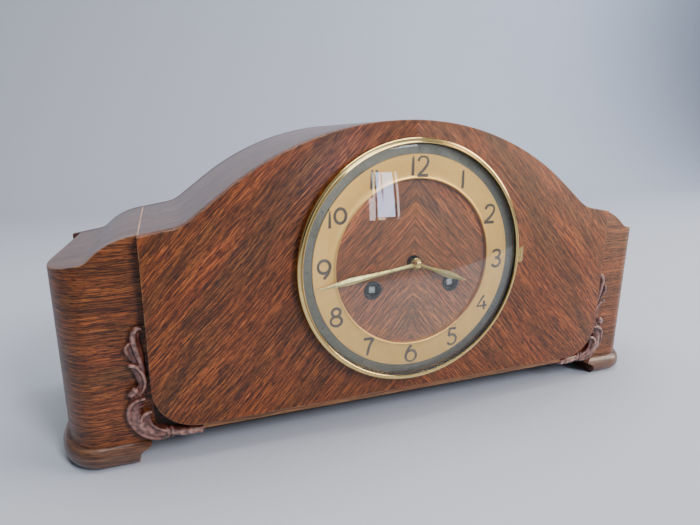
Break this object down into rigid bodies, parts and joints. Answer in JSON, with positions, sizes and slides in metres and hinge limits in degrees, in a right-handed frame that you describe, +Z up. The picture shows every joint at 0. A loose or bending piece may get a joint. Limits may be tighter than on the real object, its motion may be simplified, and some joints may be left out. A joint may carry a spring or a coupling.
{
  "type": "mantel clock",
  "caption": "Mantel clock with an arched veneered case, round domed bezel door, arabic dial, two hands and an eight-day striking movement with pendulum and gong rods.",
  "frame": {"origin": "on the surface the clock stands on, under the middle of its box", "axes": "+X to the right of the dial, +Y to the back of the case, +Z up"},
  "size_m": [0.497, 0.1784, 0.2274],
  "materials": {
    "panel_veneer": "half-gloss lacquer",
    "wing_veneer": "half-gloss lacquer",
    "top_veneer": "half-gloss lacquer",
    "case_wood": "stained",
    "lip_wood": "satin",
    "back_wood": "matt stain",
    "foot_wood": "worn lacquer",
    "carved_wood": "worn lacquer",
    "raw_wood": "unfinished",
    "hinge_brass": "dull",
    "bezel_brass": "polished",
    "hand_brass": "polished",
    "wheel_brass": "satin",
    "dial_gold": "brushed and lacquered",
    "dial_silver": "satin",
    "dark_metal": "blackened",
    "steel": "bright",
    "clear_glass": "polished",
    "gong_iron": "painted"
  },
  "bodies": {
    "case": {"front_panel": "panel_veneer", "front_board": "case_wood", "front_lip": "lip_wood", "top_skin": "top_veneer", "side_walls": "case_wood", "wing_left": "wing_veneer", "wing_right": "wing_veneer", "base_board": "case_wood", "back_board": "back_wood", "foot_left": "foot_wood", "foot_right": "foot_wood", "ornament_left": "carved_wood", "ornament_right": "carved_wood", "glue_blocks": "raw_wood", "door_hinge_leaves": "hinge_brass", "button_screw": "steel", "chapter_ring": "dial_gold", "minute_track": "dial_silver", "winding_eyelets": "dark_metal", "bezel_hinge_leaf": "bezel_brass", "front_plate": "wheel_brass", "back_plate": "wheel_brass", "plate_pillars": "steel", "plate_nuts": "steel", "movement_lugs": "steel", "clicks": "steel", "pendulum_cock": "wheel_brass", "gong_block": "gong_iron", "gong_rods": "steel", "gong_screws": "steel"},
    "bezel_door": {"bezel_ring": "bezel_brass", "glass": "clear_glass", "glass_clip": "dark_metal", "bezel_knuckle": "bezel_brass"},
    "back_door_leaf": {"back_door": "back_wood", "door_hinge_knuckles": "hinge_brass"},
    "turn_button_bar": {"turn_button": "hinge_brass"},
    "minute_group": {"minute_hand": "hand_brass", "hand_nut": "bezel_brass", "cannon_pinion": "steel"},
    "minute_wheel_group": {"minute_wheel": "wheel_brass"},
    "hour_group": {"hour_hand": "hand_brass", "hour_wheel": "wheel_brass"},
    "going_barrel_drum": {"going_barrel": "wheel_brass"},
    "going_winding": {"going_arbor": "steel"},
    "strike_barrel_drum": {"strike_barrel": "wheel_brass"},
    "strike_winding": {"strike_arbor": "steel"},
    "second_arbor": {"second_wheel": "wheel_brass"},
    "centre_arbor": {"centre_wheel": "wheel_brass"},
    "third_arbor": {"third_wheel": "wheel_brass"},
    "escape_arbor": {"escape_wheel": "wheel_brass"},
    "anchor_arbor": {"anchor": "steel"},
    "pendulum": {"pendulum_rod": "steel", "pendulum_bob": "wheel_brass"},
    "pin_arbor": {"pin_wheel": "wheel_brass"},
    "locking_arbor": {"locking_wheel": "wheel_brass"},
    "fly_arbor": {"fly": "steel"},
    "hammers": {"hammer_arbor": "steel", "hammer_heads": "wheel_brass"}
  },
  "joints": [
    {"name": "bezel_swing", "type": "hinge", "parent": "case", "child": "bezel_door", "pos_m": [0.0936, -0.0755, 0.1257], "axis": [0, 0, 1], "range_deg": [0, 110]},
    {"name": "back_door_swing", "type": "hinge", "parent": "case", "child": "back_door_leaf", "pos_m": [-0.086, 0.0872, 0.117], "axis": [0, 0, 1], "range_deg": [0, 120]},
    {"name": "button_turn", "type": "hinge", "parent": "case", "child": "turn_button_bar", "pos_m": [0.0915, 0.0861, 0.117], "axis": [0, 1, 0], "range_deg": [0, 90]},
    {"name": "minute_turn", "type": "hinge", "parent": "case", "child": "minute_group", "pos_m": [0, -0.07643, 0.1257], "axis": [0, 1, 0], "continuous": true},
    {"name": "motion_turn", "type": "hinge", "parent": "case", "child": "minute_wheel_group", "pos_m": [0, -0.0439, 0.1377], "axis": [0, 1, 0], "continuous": true},
    {"name": "hour_turn", "type": "hinge", "parent": "case", "child": "hour_group", "pos_m": [0, -0.0459, 0.1257], "axis": [0, 1, 0], "continuous": true},
    {"name": "third_turn", "type": "hinge", "parent": "case", "child": "third_arbor", "pos_m": [-0.00284, -0.0201, 0.14183], "axis": [0, 1, 0], "continuous": true},
    {"name": "centre_turn", "type": "hinge", "parent": "case", "child": "centre_arbor", "pos_m": [0, -0.0201, 0.1257], "axis": [0, 1, 0], "continuous": true},
    {"name": "second_turn", "type": "hinge", "parent": "case", "child": "second_arbor", "pos_m": [0.01756, -0.0201, 0.13296], "axis": [0, 1, 0], "continuous": true},
    {"name": "going_barrel_turn", "type": "hinge", "parent": "case", "child": "going_barrel_drum", "pos_m": [0.0323, -0.0201, 0.1077], "axis": [0, 1, 0], "continuous": true},
    {"name": "escape_turn", "type": "hinge", "parent": "case", "child": "escape_arbor", "pos_m": [0, -0.0201, 0.15497], "axis": [0, 1, 0], "continuous": true},
    {"name": "going_wind", "type": "hinge", "parent": "case", "child": "going_winding", "pos_m": [0.0323, -0.0399, 0.1077], "axis": [0, 1, 0], "continuous": true},
    {"name": "locking_turn", "type": "hinge", "parent": "case", "child": "locking_arbor", "pos_m": [-0.0216, -0.0201, 0.15368], "axis": [0, 1, 0], "continuous": true},
    {"name": "pin_turn", "type": "hinge", "parent": "case", "child": "pin_arbor", "pos_m": [-0.02473, -0.0201, 0.13595], "axis": [0, 1, 0], "continuous": true},
    {"name": "strike_barrel_turn", "type": "hinge", "parent": "case", "child": "strike_barrel_drum", "pos_m": [-0.0323, -0.0201, 0.1077], "axis": [0, 1, 0], "continuous": true},
    {"name": "fly_turn", "type": "hinge", "parent": "case", "child": "fly_arbor", "pos_m": [-0.02567, -0.0201, 0.16484], "axis": [0, 1, 0], "continuous": true},
    {"name": "strike_wind", "type": "hinge", "parent": "case", "child": "strike_winding", "pos_m": [-0.0323, -0.0399, 0.1077], "axis": [0, 1, 0], "continuous": true},
    {"name": "pendulum_swing", "type": "hinge", "parent": "case", "child": "pendulum", "pos_m": [0, 0.0059, 0.16807], "axis": [0, 1, 0], "range_deg": [-3.5, 3.5]},
    {"name": "anchor_rock", "type": "hinge", "parent": "case", "child": "anchor_arbor", "pos_m": [0, -0.0201, 0.16807], "axis": [0, 1, 0], "range_deg": [-3.5, 3.5]},
    {"name": "hammer_lift", "type": "hinge", "parent": "case", "child": "hammers", "pos_m": [-0.052, -0.0201, 0.0857], "axis": [0, 1, 0], "range_deg": [0, 12]}
  ],
  "couplings": [
    {"joint": "motion_turn", "follows": "minute_turn", "ratio": -0.33333},
    {"joint": "hour_turn", "follows": "minute_turn", "ratio": 0.083333},
    {"joint": "centre_turn", "follows": "third_turn", "ratio": -0.083333},
    {"joint": "second_turn", "follows": "third_turn", "ratio": 0.015625},
    {"joint": "going_barrel_turn", "follows": "third_turn", "ratio": -0.0019531},
    {"joint": "escape_turn", "follows": "third_turn", "ratio": -13},
    {"joint": "pin_turn", "follows": "locking_turn", "ratio": -0.11111},
    {"joint": "strike_barrel_turn", "follows": "locking_turn", "ratio": 0.013889},
    {"joint": "fly_turn", "follows": "locking_turn", "ratio": -10},
    {"joint": "anchor_rock", "follows": "pendulum_swing", "ratio": 1}
  ]
}
